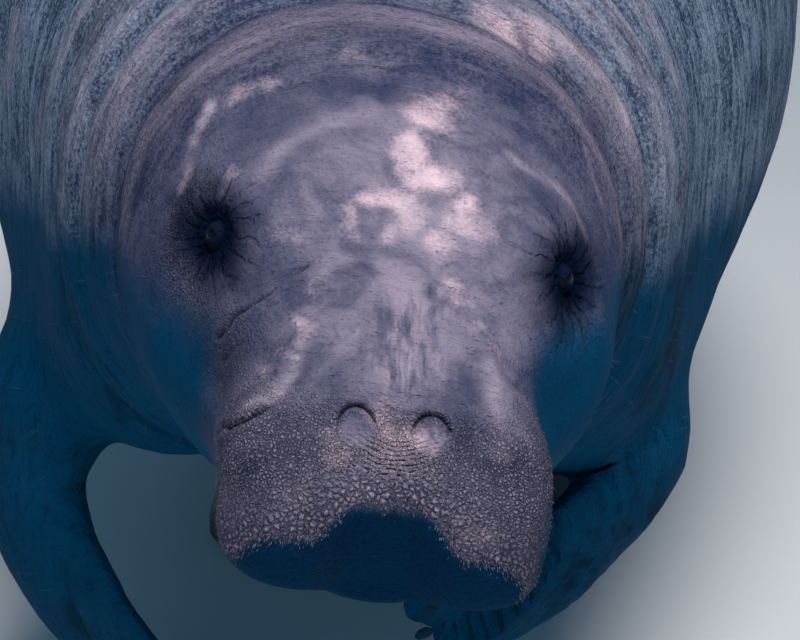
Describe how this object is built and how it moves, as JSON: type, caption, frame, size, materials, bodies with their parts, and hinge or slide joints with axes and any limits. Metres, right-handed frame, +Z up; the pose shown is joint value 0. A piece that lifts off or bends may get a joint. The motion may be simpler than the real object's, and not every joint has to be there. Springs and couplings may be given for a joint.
{
  "type": "manatee",
  "caption": "Life-size model of a swimming manatee with hanging flippers and a round paddle tail, held over a flat base by short rods.",
  "frame": {"origin": "on the floor, at the middle of the model's bounding box, on the underside of the stand's base", "axes": "+Z up; the animal faces -Y with its tail towards +Y, and its left side is +X"},
  "size_m": [0.7294, 2.9501, 0.873],
  "materials": {
    "skin": "thick wrinkled grey hide, slightly wet, paler on the forehead",
    "eye": "glossy near-black eye",
    "nail": "dull horn",
    "stand": "satin dark grey paint"
  },
  "bodies": {
    "root": {"snout": "skin", "lower_jaw": "skin", "head": "skin", "neck": "skin", "chest": "skin", "belly": "skin", "tail_stock": "skin", "tail_paddle": "skin", "flipper_right": "skin", "flipper_left": "skin", "eye_right": "eye", "eye_left": "eye", "nail_right_1": "nail", "nail_right_2": "nail", "nail_right_3": "nail", "nail_left_1": "nail", "nail_left_2": "nail", "nail_left_3": "nail", "stand_base": "stand", "stand_rod_front": "stand", "stand_rod_rear": "stand"}
  },
  "joints": []
}
